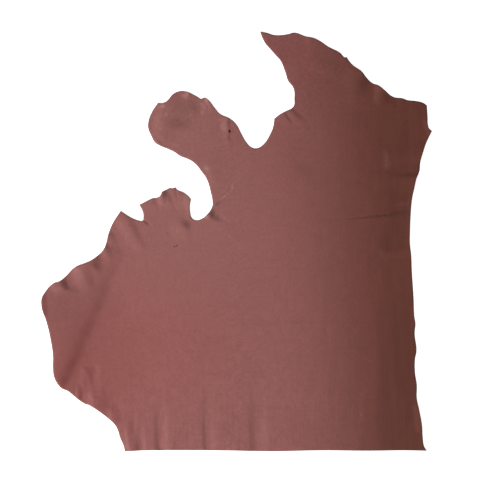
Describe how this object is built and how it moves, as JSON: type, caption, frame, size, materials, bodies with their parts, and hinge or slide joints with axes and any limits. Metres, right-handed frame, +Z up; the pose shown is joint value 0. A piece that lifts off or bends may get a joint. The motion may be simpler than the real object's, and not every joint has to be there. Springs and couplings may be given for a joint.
{
  "type": "leather hide",
  "caption": "Tanned leather half hide lying face up, with a straight knife cut along one side, a natural notched outline and a softly rippled rim.",
  "frame": {"origin": "middle of the bounding box, on the floor that the hide lies on", "axes": "+X from the belly side to the backbone side, +Y from the knife cut to the neck, +Z up out of the grain side"},
  "size_m": [1.0932, 1.175, 0.0113],
  "materials": {
    "leather": "smooth fine grain with a low satin sheen on the upper side, suede underneath"
  },
  "bodies": {
    "root": {"hide": "leather"}
  },
  "joints": []
}
